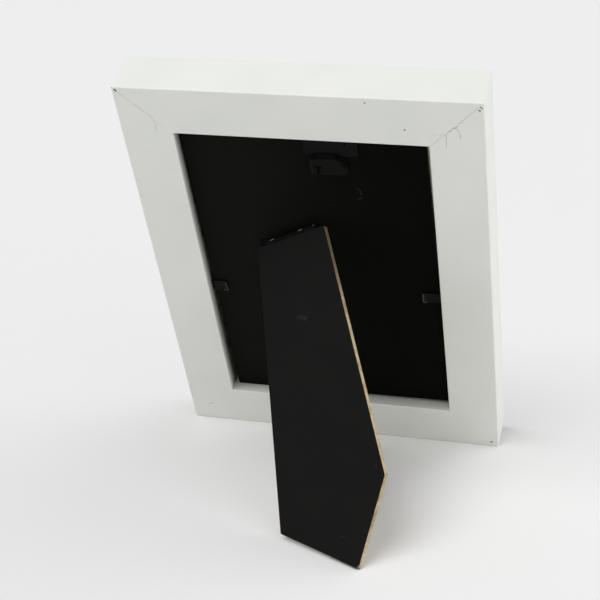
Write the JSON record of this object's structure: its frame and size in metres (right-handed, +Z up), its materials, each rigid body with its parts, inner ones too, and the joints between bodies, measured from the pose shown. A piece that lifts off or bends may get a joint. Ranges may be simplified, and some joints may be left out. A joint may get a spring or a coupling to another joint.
{
  "type": "easel back photo frame",
  "caption": "White mitred picture frame for a 10 by 15 cm print, standing on a black hardboard easel leg hinged askew to its back.",
  "frame": {"origin": "middle of the floor area that the standing frame and its open leg cover, on the floor", "axes": "+Z up, the picture faces -Y and leans back, the leg stands towards +Y, +X is the picture's own right hand side seen from the front"},
  "size_m": [0.148, 0.1414, 0.189],
  "materials": {
    "white_paint": "satin paint",
    "bare_steel": "plain",
    "clear_glass": "clear",
    "blank_print": "matt",
    "hardboard": "raw pressed fibre",
    "black_paper": "embossed matt",
    "black_steel": "blackened"
  },
  "bodies": {
    "frame": {"bottom_rail": "white_paint", "right_rail": "white_paint", "top_rail": "white_paint", "left_rail": "white_paint", "corner_nails": "bare_steel", "glass_pane": "clear_glass", "print_insert": "blank_print", "back_board": "hardboard", "board_paper": "black_paper", "hinge_board_leaf": "black_steel", "hinge_pin": "black_steel", "hanger": "black_steel", "left_tab_shank": "black_steel", "right_tab_shank": "black_steel"},
    "leg": {"easel_leg": "hardboard", "leg_paper": "black_paper", "hinge_leg_leaf": "black_steel"},
    "left_tab": {"left_tab_blade": "black_steel"},
    "right_tab": {"right_tab_blade": "black_steel"}
  },
  "joints": [
    {"name": "leg_hinge", "type": "hinge", "parent": "frame", "child": "leg", "pos_m": [0.01137, -0.00433, 0.11187], "axis": [-0.8894, 0.1905, 0.4155], "range_deg": [0, 50.5]},
    {"name": "left_tab_bend", "type": "hinge", "parent": "frame", "child": "left_tab", "pos_m": [0.0514, -0.01879, 0.08154], "axis": [0, -0.4168, -0.909], "range_deg": [0, 80]},
    {"name": "right_tab_bend", "type": "hinge", "parent": "frame", "child": "right_tab", "pos_m": [-0.0514, -0.01783, 0.08363], "axis": [0, 0.4168, 0.909], "range_deg": [0, 80]}
  ]
}
